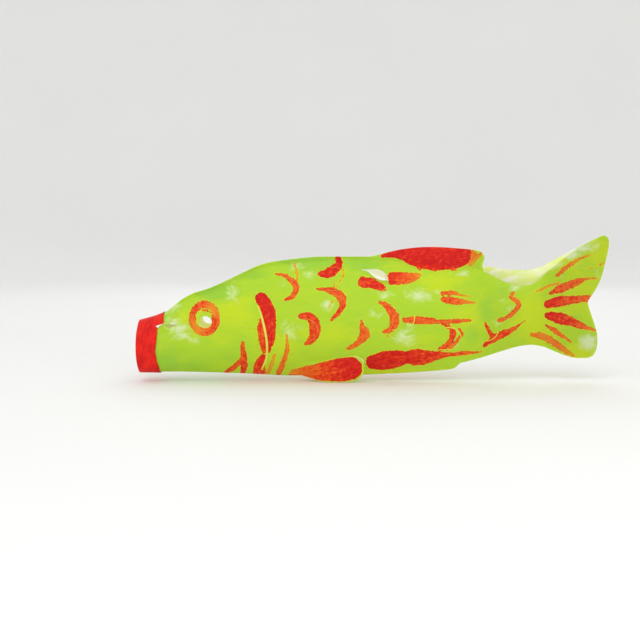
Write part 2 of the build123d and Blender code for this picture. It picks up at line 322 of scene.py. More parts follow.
class Side:
    """One side of the folded sheet. A place on it is (x, s), s being the distance up from the fold."""

    X_LOW = 6.0
    S_LOW = -24.0
    S_HIGH = 170.0
    S_STEP = 0.5
    ARC_POINTS = 161

    def __init__(self, side):
        self.side = side
        self.xs = np.arange(self.X_LOW, TAIL_END + 2, 1.0)
        self.ss = np.arange(self.S_LOW, self.S_HIGH, self.S_STEP)
        self.belly = flow(BELLY, self.xs)
        seam = flow(BACK, self.xs) - flow(SEAM_DEPTH, self.xs)
        stalk = flow(STALK_TOP[side], self.xs)
        self.top = seam + (stalk - seam) * ease(STALK_FREE_START, STALK_FREE_END, self.xs)
        self.seam_s = np.zeros(len(self.xs))
        self.y = np.zeros((len(self.xs), len(self.ss)))
        self.z = np.zeros((len(self.xs), len(self.ss)))
        turns = np.linspace(-1, 1, self.ARC_POINTS)
        bulge = flow(BULGE[side], self.xs)
        parting = flow(PARTING[side], self.xs)
        edges = np.radians(flow(EDGE_ANGLE, self.xs))
        for i, edge in enumerate(edges):
            height = np.sin(turns * edge) / math.sin(edge)
            out = bulge[i] * (np.cos(turns * edge) - math.cos(edge)) / (1 - math.cos(edge))
            out += parting[i] * (1 + height) / 2
            z = (self.top[i] + self.belly[i]) / 2 + height * (self.top[i] - self.belly[i]) / 2
            s = np.concatenate(([0], np.cumsum(np.hypot(np.diff(out), np.diff(z)))))
            self.seam_s[i] = s[-1]
            above = np.maximum(self.ss - s[-1], 0)
            below = np.minimum(self.ss, 0)
            self.z[i] = np.interp(self.ss, s, z) + above + below
            self.y[i] = np.interp(self.ss, s, out)
        folded = ease(BELLY_OPEN, FOLD_END, self.xs)[:, None]
        self.soften(folded)
        self.y += FOLD_OFFSET - (FOLD_OFFSET - FOLD_GAP) * folded * np.exp(-np.maximum(self.ss, 0))

    def soften(self, folded):
        """Round the crease where the bulging side meets the flat strip of the back."""
        reach = int(4 * CREASE / self.S_STEP)
        offsets = np.arange(-reach, reach + 1)
        weights = np.exp(-((offsets * self.S_STEP / CREASE) ** 2) / 2)
        weights /= weights.sum()
        near_fold = ease(6, 3, self.ss) * folded
        for field in (self.y, self.z):
            padded = np.pad(field, ((0, 0), (reach, reach)), mode="edge")
            soft = sum(w * padded[:, reach + k:reach + k + field.shape[1]]
                       for k, w in zip(offsets, weights))
            if field is self.z:
                soft = field + (soft - field) * 0.5
            field += (soft - field) * (1 - near_fold)

    def lookup(self, field, x, s):
        fx = np.clip((x - self.X_LOW), 0, len(self.xs) - 1.001)
        fs = np.clip((s - self.S_LOW) / self.S_STEP, 0, len(self.ss) - 1.001)
        i, j = fx.astype(int), fs.astype(int)
        a, b = fx - i, fs - j
        return ((field[i, j] * (1 - b) + field[i, j + 1] * b) * (1 - a)
                + (field[i + 1, j] * (1 - b) + field[i + 1, j + 1] * b) * a)

    def middle(self, flat):
        """Points of the middle surface, before any wrinkle, at flat places."""
        x, s = flat[:, 0], flat[:, 1]
        return columns(x, self.side * self.lookup(self.y, x, s), self.lookup(self.z, x, s))

    def flat(self, places):
        """Flat places of points given as (x, z)."""
        out = []
        for x, z in places:
            fx = min(max(x - self.X_LOW, 0), len(self.xs) - 1.001)
            i = int(fx)
            row = self.z[i] * (1 - fx + i) + self.z[i + 1] * (fx - i)
            out.append((x, float(np.interp(z, row, self.ss))))
        return np.array(out)

    def normals(self, flat):
        """Outward unit normals at flat places."""
        dx, ds = np.array((0.6, 0.0)), np.array((0.0, 0.6))
        along = self.middle(flat + dx) - self.middle(flat - dx)
        up = self.middle(flat + ds) - self.middle(flat - ds)
        n = np.cross(along, up) * -self.side
        return n / np.linalg.norm(n, axis=1)[:, None]

    def seam(self, x):
        return np.interp(x, self.xs, self.seam_s)

    def relief(self, flat):
        """How far the paper stands out of its smooth shape: dents, ripples and lifted lips."""
        x, s = flat[:, 0], flat[:, 1]
        spot = columns(x, s, np.full(len(x), 40.0 * self.side))
        room = ease(0, STILL_MARGIN, s) * ease(0, -STILL_MARGIN, s - self.seam(x))
        lift = room * (BROAD_DENTS[0] * ripple(spot, BROAD_DENTS[1], 1)
                       + SMALL_DENTS[0] * ripple(spot, SMALL_DENTS[1], 2))
        near_seam = np.exp(-((s - self.seam(x)) / SEAM_REACH) ** 2) * ease(40, 70, x)
        near_fold = np.exp(-(s / FOLD_REACH) ** 2) * ease(30, 60, x)
        pulled = ripple(columns(x, s * 0.3, s * 0), SEAM_RIPPLE[1], 3)
        lift += SEAM_RIPPLE[0] * (near_seam + 0.6 * near_fold) * pulled
        mouth = ease(46, 24, x) * ease(SHEET_START + 14, SHEET_START + 24, x)
        lift += MOUTH_RIPPLE[0] * mouth * ripple(spot, MOUTH_RIPPLE[1], 4)
        return lift


def gill_lip(flat, surface):
    """The cheek in front of the gill slit stands a little proud, most at its middle."""
    line = surface.flat(smooth_path(GILL, 6))
    back_x = np.interp(flat[:, 1], line[::-1, 1], line[::-1, 0])
    ahead = back_x - flat[:, 0]
    middle = np.exp(-(((flat[:, 1] - line[:, 1].mean()) / GILL_LIP_REACH) ** 2))
    return GILL_LIP * middle * ease(GILL_LIP_REACH, 0, ahead) * (ahead > 0)


def nostril_lip(flat, surface):
    """The nostril's upper edge curls out and its lower edge sinks in."""
    dx, ds = ((flat - surface.flat([NOSTRIL_AT])[0]) / NOSTRIL_LIP_REACH).T
    fade = np.exp(-dx * dx - ds * ds)
    return fade * np.where(ds > 0, *NOSTRIL_LIPS) * np.minimum(1, np.abs(ds) * 3)


def tail_wave(points):
    """A slow bend of the tail, the same on both layers."""
    x, z = points[:, 0], points[:, 2]
    return TAIL_WAVE * ease(*TAIL_WAVE_REACH, x) * np.sin((z - TAIL_WAVE_MIDDLE) / TAIL_WAVE_LENGTH)


def shaped(surface, flat):
    """Outer face of the paper at flat places, with its relief, and the outward normals."""
    normal = surface.normals(flat)
    points = surface.middle(flat)
    lift = surface.relief(flat) + gill_lip(flat, surface) + nostril_lip(flat, surface) + PROUD
    points = points + normal * lift[:, None]
    points[:, 1] += tail_wave(points)
    return points, normal


# ---------------------------------------------------------------- outlines of the cuts

def ellipse(centre, radii, tilt=0.0, count=36):
    a = np.linspace(0, 2 * math.pi, count, endpoint=False)
    u, v = radii[0] * np.cos(a), radii[1] * np.sin(a)
    return columns(centre[0] + u * math.cos(tilt) - v * math.sin(tilt),
                   centre[1] + u * math.sin(tilt) + v * math.cos(tilt))


def scale_places(word):
    """Root, tip, foot and top of each scale of one side, from the frame's boxes."""
    found = []
    names = sorted(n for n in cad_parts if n.startswith(word + "_scale_"))
    for name in names:
        low, high = (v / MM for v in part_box(name))
        found.append((name, low.x - CAD_ROOT_GAP, high.x + CAD_CUT_GAP, low.z - CAD_CUT_GAP,
                      high.z + CAD_CUT_GAP))
    return found


def scale_loop(root, tip, foot, top, gap=0.0, lead=ROOT_LEAD):
    """A scale's outline as (x, z): square root, straight sides, rounded free end."""
    shoulder = tip - SCALE_NOSE
    middle = (foot + top) / 2
    half = (top - foot) / 2 - gap
    a = np.linspace(-math.pi / 2, math.pi / 2, 19)
    nose = columns(shoulder + (SCALE_NOSE - gap) * np.cos(a), middle + half * np.sin(a))
    return np.vstack(([root - lead, middle - half], nose, [root - lead, middle + half]))


def fin_top(x):
    return FIN_ROOT_TOP + (FIN_REAR_TOP - FIN_ROOT_TOP) * (x - FIN_ROOT_X) / (FIN_TIP_X - FIN_ROOT_X)


def fin_window_loop():
    """The hole that the pectoral fin is cut from, as (x, z)."""
    shoulder = FIN_TIP_X - FIN_NOSE / 2
    middle = (fin_top(FIN_TIP_X) + FIN_WINDOW_FOOT) / 2
    rear = smooth_path([(shoulder, fin_top(shoulder)), (FIN_TIP_X - 1, middle + 5),
                        (FIN_TIP_X - 1, middle - 5), (shoulder, FIN_WINDOW_FOOT)], 5)
    start = FIN_ROOT_X - ROOT_LEAD
    return np.vstack(([start, fin_top(start)], rear, [start, FIN_WINDOW_FOOT]))


def slit_loop(line, width):
    """A narrow slot that follows a line and closes to nothing at its ends."""
    p = smooth_path(line, 6)
    d = np.gradient(p, axis=0)
    n = columns(-d[:, 1], d[:, 0]) / np.linalg.norm(d, axis=1)[:, None]
    taper = np.minimum(1, np.minimum(np.arange(len(p)), np.arange(len(p))[::-1]) / 3.0)[:, None]
    return np.vstack((p + n * width / 2 * taper, (p - n * width / 2 * taper)[-2:0:-1]))


def side_loop(surface):
    """Outer edge of one side's whole sheet, from mouth to tail, in flat places."""
    side = surface.side
    cut = smooth_path(BELLY_CUT)
    cut = [p for p in cut if p[1] > flow(BELLY, p[0]) or p[0] > 430]
    belly = [(x, 0.0) for x in np.arange(SHEET_START, cut[0][0], STEP)]
    foot = np.vstack((cut, smooth_path(TAIL_FOOT[::-1])[1:]))
    rear = smooth_path(TAIL_REAR[::-1])
    tail_top = smooth_path(TAIL_TOP[side][::-1])
    stalk_x = np.arange(432, 366, -1.5)
    stalk = columns(stalk_x, np.interp(stalk_x, surface.xs, surface.top))
    fin = smooth_path(DORSAL_FIN[::-1])
    back_x = np.arange(245, SHEET_START, -3.0)
    back = columns(back_x, flow(BACK, back_x))
    mouth_top = [(SHEET_START, float(flow(BACK, SHEET_START)))]
    upper = np.vstack((foot, rear, tail_top, stalk, fin, back, mouth_top))
    return np.vstack((belly, surface.flat(upper)))


# ---------------------------------------------------------------- meshing

def in_sheet(points, loops):
    """Which points lie inside the first loop and outside the others."""
    result = inside(points, loops[0])
    for loop in loops[1:]:
        result &= ~inside(points, loop)
    return result


def fill(outer, holes, step):
    """Even triangles inside an outer loop and outside the holes, in flat places."""
    loops = [thinned(resample(loop, step), step * 0.35) for loop in [outer] + holes]
    edge_points = np.vstack(loops)
    nearest = nearest_finder(edge_points)
    low, high = outer.min(0), outer.max(0)
    rows = np.arange(low[1], high[1], step * math.sqrt(3) / 2)
    grid = []
    for k, v in enumerate(rows):
        us = np.arange(low[0] + k % 2 * step / 2, high[0], step)
        grid.append(columns(us, np.full(len(us), v)))
    grid = np.vstack(grid)
    grid = np.array([p for p in grid[in_sheet(grid, loops)] if nearest(p)[2] > step * 0.55])
    edges = []
    for loop in loops:
        start, n = len(edges), len(loop)
        edges += [(start + i, start + (i + 1) % n) for i in range(n)]
    everything = np.vstack((edge_points, grid))
    result = delaunay_2d_cdt([Vector(p) for p in everything], edges, [], 1, 1e-5)
    points = np.array([tuple(v) for v in result[0]])
    faces = np.array([f for f in result[2] if len(f) == 3])
    faces = faces[in_sheet(points[faces].mean(axis=1), loops)]
    used = np.unique(faces)
    renumber = np.full(len(points), -1)
    renumber[used] = np.arange(len(used))
    return points[used], renumber[faces]


def put_in_scene(name, data):
    made = bpy.data.objects.new(name, data)
    bpy.context.scene.collection.objects.link(made)
    return made


def add_piece(name, points, faces, fields, materials, slots=None):
    """Smooth-shaded object from points in millimetres, with its paint fields and materials."""
    mesh = bpy.data.meshes.new(name)
    mesh.from_pydata((points * MM).tolist(), [], faces)
    if slots is not None:
        mesh.polygons.foreach_set("material_index", slots)
    mesh.polygons.foreach_set("use_smooth", np.ones(len(faces), bool))
    for field, values in fields.items():
        values = np.asarray(values, np.float32)
        vector = values.ndim == 2
        layer = mesh.attributes.new(field, "FLOAT_VECTOR" if vector else "FLOAT", "POINT")
        layer.data.foreach_set("vector" if vector else "value", values.ravel())
    mesh.validate()
    mesh.set_sharp_from_angle(angle=SHARP_ANGLE)
    for material in materials:
        mesh.materials.append(material)
    return put_in_scene(name, mesh)


def paper_mesh(name, outer, normals, faces, fields, materials, thickness=PAPER):
    """Closed sheet of paper: outer face, inner face and cut edges, one material for each."""
    count = len(outer)
    a, b, c = (outer[faces[:, k]] for k in range(3))
    facing = (np.cross(b - a, c - a) * normals[faces[:, 0]]).sum(axis=1) > 0
    faces = np.where(facing[:, None], faces, faces[:, ::-1])
    directed = {(f[i], f[(i + 1) % 3]): True for f in faces for i in range(3)}
    rim = [(v, u, u + count, v + count) for u, v in directed if (v, u) not in directed]
    polygons = faces.tolist() + (faces[:, ::-1] + count).tolist() + [[int(i) for i in f] for f in rim]
    slots = np.repeat((0, 1, 2), (len(faces), len(faces), len(rim))).astype(np.int32)
    points = np.vstack((outer, outer - normals * thickness))
    doubled = {field: np.concatenate((values, values)) for field, values in fields.items()}
    return add_piece(name, points, polygons, doubled, materials, slots)


def ring_faces(rows, around, closed):
    """Four-sided faces between rings of points that were laid one after another."""
    faces = []
    for k in range(rows if closed else rows - 1):
        m = (k + 1) % rows
        for i in range(around):
            j = (i + 1) % around
            faces.append((k * around + i, k * around + j, m * around + j, m * around + i))
    return faces


# ---------------------------------------------------------------- paint strokes

# Each stroke is a line of (x, z, half width) in the plane of the fish, as the brush went, and how
# dry the brush was at its start and end (0 wet and deep red, 1 dry and orange).
HEAD_STROKES = [
    ([(130.2, 51.6, 6.4), (135, 43.5, 7.8), (138.2, 34, 7.8), (138.6, 20, 7.4), (137.6, 8, 7.2),
      (135.6, -4, 4.4)], 0, 0.25),
    ([(131, 28, 3), (130.4, 18, 4.4), (131.4, 6, 4.4), (133.4, -5, 3.4)], 0.45, 0.5),
    ([(131.8, -12.5, 4.2), (128.4, -20, 5.8), (128, -26.5, 7)], 0.2, 0.45),
    ([(110.2, 3, 2.2), (111, -9, 3.4), (111.6, -20, 3.8), (110.4, -28, 3)], 0.55, 0.35),
    ([(109, -14.5, 2.6), (101, -22.4, 3), (92.5, -28, 2.2)], 0.4, 0.5),
    ([(157, 12, 1.2), (158, -3, 2.2), (154, -17, 2.8), (148.5, -29, 3)], 0.9, 0.75),
    ([(144.5, -9, 1.6), (140.5, -22, 2.2), (136, -30, 1.8)], 1, 1),
]
SCALE_STROKES = [
    ([(146, 77.8, 1.2), (156.5, 75, 2.2), (164.5, 68.8, 3.2), (168, 61.4, 3.2), (163.6, 53.6, 2.8),
      (156.2, 50, 1.4)], 0.75, 0.5),
    ([(211.8, 97, 2.6), (213.4, 88, 4), (207.6, 81.4, 5.6), (199.6, 77.4, 4.8), (193, 77.4, 2.8)],
      0.1, 0.2),
    ([(189, 61.2, 0.8), (198.5, 60.6, 2.2), (208, 58.4, 4.2), (215.6, 52.4, 5.2), (217.4, 43.4, 3.4),
      (211, 33.6, 2.5), (205.6, 28.8, 1.8)], 0.55, 0.45),
    ([(174, 32, 4), (182, 31.4, 5), (187, 24.6, 6), (187.4, 13.9, 5.6), (183.6, 6.7, 4.4),
      (177.8, 2.8, 1.8)], 0.3, 0.55),
    ([(237.2, 27.3, 1), (238.8, 19, 3.4), (241.2, 13.4, 5.6), (236.6, 6, 4), (229, 0.1, 2.3),
      (223, -2.8, 2)], 0.65, 0.75),
    ([(243, 14.5, 2.6), (245, 11, 2)], 0.6, 0.7),
    ([(239.5, 68.5, 6.2), (248, 67.5, 5.6), (255, 64.5, 4.6), (261, 61.5, 3)], 0.35, 0.2),
    ([(270.5, 72.7, 7), (281, 72.7, 6.6), (293, 74, 5), (299, 76.3, 2.4)], 0.25, 0.95),
    ([(256.5, 47, 1.4), (264.4, 43.3, 3.2), (270.7, 35.3, 5), (273.4, 27.3, 5), (269.8, 19.2, 3.8),
      (261.5, 15.2, 1.8)], 0.6, 0.65),
    ([(269.5, 18, 1), (265, 9.6, 0.7)], 1, 1),
    ([(324, 56.7, 2.4), (335, 57, 2.5), (343, 55, 1.3), (355, 53.5, 0.6)], 0.7, 1),
    ([(324.5, 50.4, 3.2), (335, 48.7, 4.4), (344.7, 47.8, 3), (358.5, 46.5, 1)], 0.5, 0.95),
    ([(283.2, 28.2, 2.6), (296.5, 28.2, 4.2), (310.8, 27.3, 3.9), (321.5, 26.4, 2.3), (336, 26.7, 2.6),
      (346.5, 27.3, 2.3), (354.5, 27.6, 0.9)], 0.6, 0.7),
    ([(324, 23.4, 1.2), (332.5, 19.6, 2.4), (335.6, 13.5, 3.6), (333, 5.5, 3.2), (328, 0, 3),
      (321.5, -3.6, 2.4)], 0.45, 0.5),
    ([(342, 18, 1.6), (345, 13.6, 2), (341, 8, 1.8), (335.5, 1.2, 2.2), (329, -4, 1.8)], 0.6, 0.85),
    ([(399, 56.4, 2.4), (397.4, 52.4, 2.2), (403, 48.6, 2.8), (405.4, 43.6, 2.8), (400.6, 36.8, 2.6),
      (393, 30.6, 2.4), (384.8, 27.6, 2.4)], 0.8, 0.6),
    ([(370, 24, 1.6), (374.6, 15.5, 2.2), (378.6, 8.4, 3.8), (369.5, 0.8, 2.2)], 0.5, 0.4),
    ([(379, 8.4, 4.2), (390.4, 13.4, 4), (398.6, 17.2, 2.8), (406, 22.8, 1.2), (412.5, 27.6, 0.5)],
      0.35, 0.7),
]
CURL_NEIGHBOUR = SCALE_STROKES[7]
THIN_STROKES = [
    ([(165.5, 88.8, 1), (168.3, 78, 1.3), (168.3, 69, 0.8)], 1, 1),
    ([(218, 82.5, 0.7), (216.5, 74, 0.9), (211, 63.5, 0.7)], 1, 1),
    ([(219.5, 80, 0.6), (215, 68, 0.7)], 1, 1),
    ([(208, 69, 0.5), (207.5, 61, 0.5)], 1, 1),
    ([(207, 50, 0.6), (203, 42, 0.8)], 1, 1),
]
BELLY_STROKES = [
    ([(161.5, -29.2, 2.6), (169, -29.6, 4.6), (180, -30.6, 5.4), (192, -31.5, 5)], 0.85, 0.5),
    ([(250.2, -17.3, 8), (262.6, -15.5, 10.2), (277, -13.8, 9), (285, -12, 6.2)], 0, 0.2),
    ([(285, -12, 6), (296.5, -12, 9), (307.2, -12, 7.5), (318, -10.2, 5), (330.4, -9.3, 2.6),
      (350, -7.5, 2.3), (368.8, -6.1, 0.7)], 0.05, 0.9),
]
FIN_STROKES = [
    ([(163, -29.6, 3.4), (175, -28.6, 6.4), (188, -28.2, 8.8), (203, -26.6, 11.2), (219, -25, 13.2),
      (226, -24, 12.4)], 0.95, 0),
]
DORSAL_STROKES = [
    ([(259.8, 96.6, 2), (276.9, 99, 5.6), (294.7, 96.6, 11.2), (310.8, 94.8, 13.4), (328.6, 94.6, 13.2),
      (341, 95, 10.6), (349, 96.4, 8)], 0, 0.05),
    ([(297, 87, 3), (300, 83, 1.6)], 0.3, 0.6),
    ([(314, 85, 4.4), (316, 81.4, 2)], 0.1, 0.5),
    ([(333, 86, 4.4), (337, 82, 1.8)], 0.3, 0.7),
    ([(355.6, 96.4, 6), (353, 89, 3.4)], 0.85, 0.95),
    ([(364, 99, 1.5), (360.6, 94, 1.8)], 0.9, 1),
]
TAIL_RAYS = [
    ([(446, 75.4, 2), (455.6, 84.4, 2.5), (469.5, 93.2, 1.5), (483.8, 98.6, 0.5)], 0.8, 1),
    ([(424.9, 58.5, 1.2), (435.6, 63.8, 1.6), (448, 68.3, 1)], 0.95, 1),
    ([(439, 56.4, 1.9), (451, 62, 4.6), (466.4, 68.2, 4), (476.6, 71.8, 1.8), (491, 72.7, 0.6)],
      0.45, 0.95),
    ([(437.4, 44.8, 4.8), (448, 48, 5.6), (460.6, 49.6, 4.6), (480, 51.3, 3.4)], 0.2, 0.75),
    ([(437, 32.8, 3.8), (448, 30.2, 6.4), (460.6, 27, 5.2), (474.9, 21, 3.2), (487.3, 17.4, 1.4)],
      0.2, 0.8),
    ([(435, 22.8, 1.1), (444.5, 16.6, 2.6), (453.5, 10.3, 2.2), (463, 3.8, 0.8)], 0.6, 0.9),
    ([(420.5, 12.4, 2.4), (431, 10.6, 3.7), (443.5, 4.2, 3.9), (454.5, -3.6, 3.4), (464, -10.2, 1.8)],
      0.8, 0.95),
    ([(476.6, 81.7, 0.5), (483.8, 84.3, 0.6)], 1, 1),
    ([(491, 87, 1), (497.2, 88.4, 1)], 1, 1),
]
# Unpainted wedge at the rear of the red band, as its corners
BAND_WEDGE = [(16.6, 21.4), (19.5, 19.6), (28.0, 19.0), (28.0, 25.2), (22.0, 23.2)]
# Painted ring round the eye: centre, outer radii, inner radii
EYE_RING = ((69.6, 29.9), (16.8, 19.3), (9.4, 11.0))
EYE_DAB = [
    ([(66.5, 38.2, 0.9), (71.5, 38.4, 1.3), (76.5, 36.2, 1.1)], 0.7, 0.8),
    ([(77.2, 34, 1), (78.8, 28.5, 1.8), (76.5, 22.5, 1.9), (71, 19.8, 1.9), (64.5, 21, 1)], 0.6, 0.7),
]
SIDE_STROKES = (HEAD_STROKES + EYE_DAB + SCALE_STROKES + THIN_STROKES + BELLY_STROKES
                + DORSAL_STROKES + TAIL_RAYS)

# Blots of the green wash: (x, z, reach along, reach up, strength)
PALE_BLOTS = [
    (438, 90, 16, 8, 1.2), (456, 98, 17, 6, 1.2), (472, 106, 14, 6, 1.1), (39, 26, 9, 5, 1),
    (41, 19, 15, 7, 1.1), (47, 12, 14, 6, 0.9), (36, 43, 13, 9, 0.75), (58, 6, 10, 6, 0.7),
    (31, 27, 6, 6, 0.8), (99, 57, 8, 11, 0.9), (168, 84, 13, 8, 0.7), (181, 77, 10, 8, 0.7),
    (153, 65, 7, 6, 0.6), (161, 17, 13, 12, 0.7), (201, 44, 8, 9, 0.8), (249, 37, 6, 8, 0.7),
    (210, 86, 10, 7, 0.45), (262, 54, 12, 8, 0.7), (254, 34, 16, 8, 0.5), (300, 54, 18, 9, 1),
    (318, 58, 8, 6, 0.7), (284, 9, 16, 11, 0.9), (345, 78, 12, 4, 0.9), (332, 13, 6, 5, 0.5),
    (338, 2, 7, 6, 0.5), (399, 41, 9, 8, 0.5), (383, 24, 9, 4, 0.7), (402, 64, 9, 6, 0.9),
    (290, 21, 9, 6, 0.6), (448, 98, 12, 5, 0.8), (470, 104, 14, 8, 0.8), (486, 107, 8, 10, 0.6),
    (462, 86, 14, 5, 0.45), (480, 4, 11, 10, 1.3), (489, 80, 7, 10, 0.5), (452, 74, 6, 4, 0.4),
    (450, 24, 8, 4, 0.5), (391, 47, 8, 7, 0.5), (136, -33, 12, 4, 0.4), (240, 28, 7, 9, 0.35),
    (27, 36, 6, 5, 0.6), (95, 68, 10, 5, 0.35),
]
# Places of the inner face the wash has not soaked through to, and places it has.
DRY_INSIDE = [
    (256, 80, 26, 16, 1), (285, 84, 22, 12, 0.7),
]
SOAKED_INSIDE = [
    (400, 70, 40, 22, 0.15), (445, 92, 40, 16, 0.15), (34, 24, 12, 10, 0.4), (72, 26, 22, 20, 1),
    (228, -14, 30, 16, 1.2),
]
YELLOW_BLOTS = [
    (104, 36, 26, 22, 0.8), (127, 20, 16, 20, 0.5), (48, 31, 10, 10, 0.7), (88, 10, 18, 14, 0.5),
    (212, 12, 40, 14, 0.5), (150, 2, 20, 16, 0.6), (320, 68, 26, 12, 0.6), (352, 30, 18, 16, 0.6),
    (424, 30, 26, 30, 0.9), (470, 60, 26, 30, 0.6), (455, 90, 20, 12, 0.8), (490, 100, 12, 16, 0.8),
    (470, -6, 20, 10, 0.8), (306, 6, 30, 9, 0.5), (196, 58, 22, 9, 0.4), (60, 22, 10, 24, 0.5),
    (262, -28, 60, 6, 0.6), (370, 50, 10, 12, 0.5),
]
DEEP_BLOTS = [
    (30, -17, 16, 16, 1), (56, -22, 24, 10, 0.7), (96, -10, 22, 10, 0.5), (84, 57, 28, 12, 1.1),
    (120, 76, 22, 8, 0.9), (180, 90, 40, 10, 1.1), (240, 88, 30, 11, 1), (292, 88, 16, 8, 0.7),
    (262, 80, 12, 10, 0.4), (371, 42, 12, 26, 0.8), (356, 14, 12, 18, 0.6), (388, 60, 12, 10, 0.7),
    (308, 36, 24, 10, 0.4), (232, 36, 14, 12, 0.4), (296, -2, 26, 6, 0.5), (120, 64, 16, 10, 0.4),
    (418, 70, 12, 8, 0.5), (160, 48, 16, 8, 0.3),
]


# A stroke is looked for no further than its margin; each stroke, and each side, has noise of its own
NOWHERE = -99.0
STROKE_MARGIN = 4
STROKE_SHIFT = 31.0
RING_REACH = 40
SIDE_SHIFT = 60.0


def seen(points):
    """Where points of the near side appear in the plane of the fish from the camera's eye point."""
    eye = np.array(EYE)
    share = eye[1] / (eye[1] + np.abs(points[:, 1]))
    flatx = eye[0] + (points[:, 0] - eye[0]) * share
    flatz = eye[2] + (points[:, 2] - eye[2]) * share
    return columns(flatx, flatz)


def stroke_fields(spots, strokes):
    """Signed distance inside the nearest stroke, with the place along and across it and its dryness."""
    best = np.full(len(spots), NOWHERE)
    brush = np.zeros((len(spots), 3))
    for number, (line, dry_start, dry_end) in enumerate(strokes):
        path = smooth_path(line, 4)
        reach = path[:, 2].max() + STROKE_MARGIN
        near = (spots > path[:, :2].min(0) - reach) & (spots < path[:, :2].max(0) + reach)
        index = np.nonzero(near.all(axis=1))[0]
        p = spots[index]
        length = np.cumsum(np.linalg.norm(np.diff(path[:, :2], axis=0), axis=1))
        for a, b, done in zip(path, path[1:], (0, *length)):
            d = b[:2] - a[:2]
            run = max(np.linalg.norm(d), 1e-6)
            t = np.clip(((p - a[:2]) @ d) / run ** 2, 0, 1)
            off = p - a[:2] - t[:, None] * d
            depth = a[2] + (b[2] - a[2]) * t - np.linalg.norm(off, axis=1)
            along = done + t * run
            across = (off[:, 1] * d[0] - off[:, 0] * d[1]) / run + STROKE_SHIFT * number
            dry = dry_start + (dry_end - dry_start) * along / length[-1]
            better = depth > best[index]
            best[index[better]] = depth[better]
            brush[index[better]] = columns(along, across, dry)[better]
    return best, brush


def eye_ring_field(spots):
    """Signed distance inside the painted ring round the eye."""
    centre, outer, inner = EYE_RING
    d = spots - np.array(centre)
    angle = np.arctan2(d[:, 1], d[:, 0])
    radius = np.linalg.norm(d, axis=1)
    far = radius / np.linalg.norm(d / np.array(outer), axis=1).clip(1e-6)
    near = radius / np.linalg.norm(d / np.array(inner), axis=1).clip(1e-6)
    depth = np.minimum(far - radius, radius - near)
    middle = (far + near) / 2
    dry = 0.72 + 0.2 * np.sin(angle * 2)
    return depth, columns(angle * 14, radius - middle + 400, dry)


def blots(spots, places):
    total = np.zeros(len(spots))
    for x, z, along, up, strength in places:
        d = (spots - (x, z)) / (along, up)
        total = np.maximum(total, strength * np.exp(-(d * d).sum(axis=1)))
    return total


def paint_fields(points, flat, strokes, cut_loops):
    """All the paint fields of a piece, from its outer points as the brush met them."""
    spots = seen(points)
    depth, brush = stroke_fields(spots, strokes)
    ring, ring_brush = eye_ring_field(spots)
    near_eye = (np.abs(spots[:, 0] - EYE_RING[0][0]) < RING_REACH) & (ring > depth)
    depth = np.where(near_eye, ring, depth)
    brush[near_eye] = ring_brush[near_eye]
    tint = columns(blots(spots, PALE_BLOTS), blots(spots, YELLOW_BLOTS), blots(spots, DEEP_BLOTS))
    inner = blots(spots, SOAKED_INSIDE) - blots(spots, DRY_INSIDE)
    cut = np.full(len(points), FAR_FROM_CUT)
    if cut_loops:
        rim = np.vstack([loop for loop, _ in cut_loops])
        quiet = np.concatenate([np.full(len(loop), hush) for loop, hush in cut_loops])
        nearest = nearest_finder(rim)
        for i, p in enumerate(flat):
            _, at, distance = nearest(p)
            cut[i] = min(FAR_FROM_CUT, distance + quiet[at])
    return {"paint": depth, "brush": brush, "tint": tint, "cut": cut, "inner": inner,
            "rest": columns(flat[:, 0], flat[:, 1], np.sign(points[:, 1]) * SIDE_SHIFT)}


# ---------------------------------------------------------------- materials

def srgb(red, green, blue):
    """Linear colour of a screen colour given from 0 to 255."""
    return tuple(((c / 255 + 0.055) / 1.055) ** 2.4 if c > 10 else c / 255 / 12.92
                 for c in (red, green, blue)) + (1.0,)


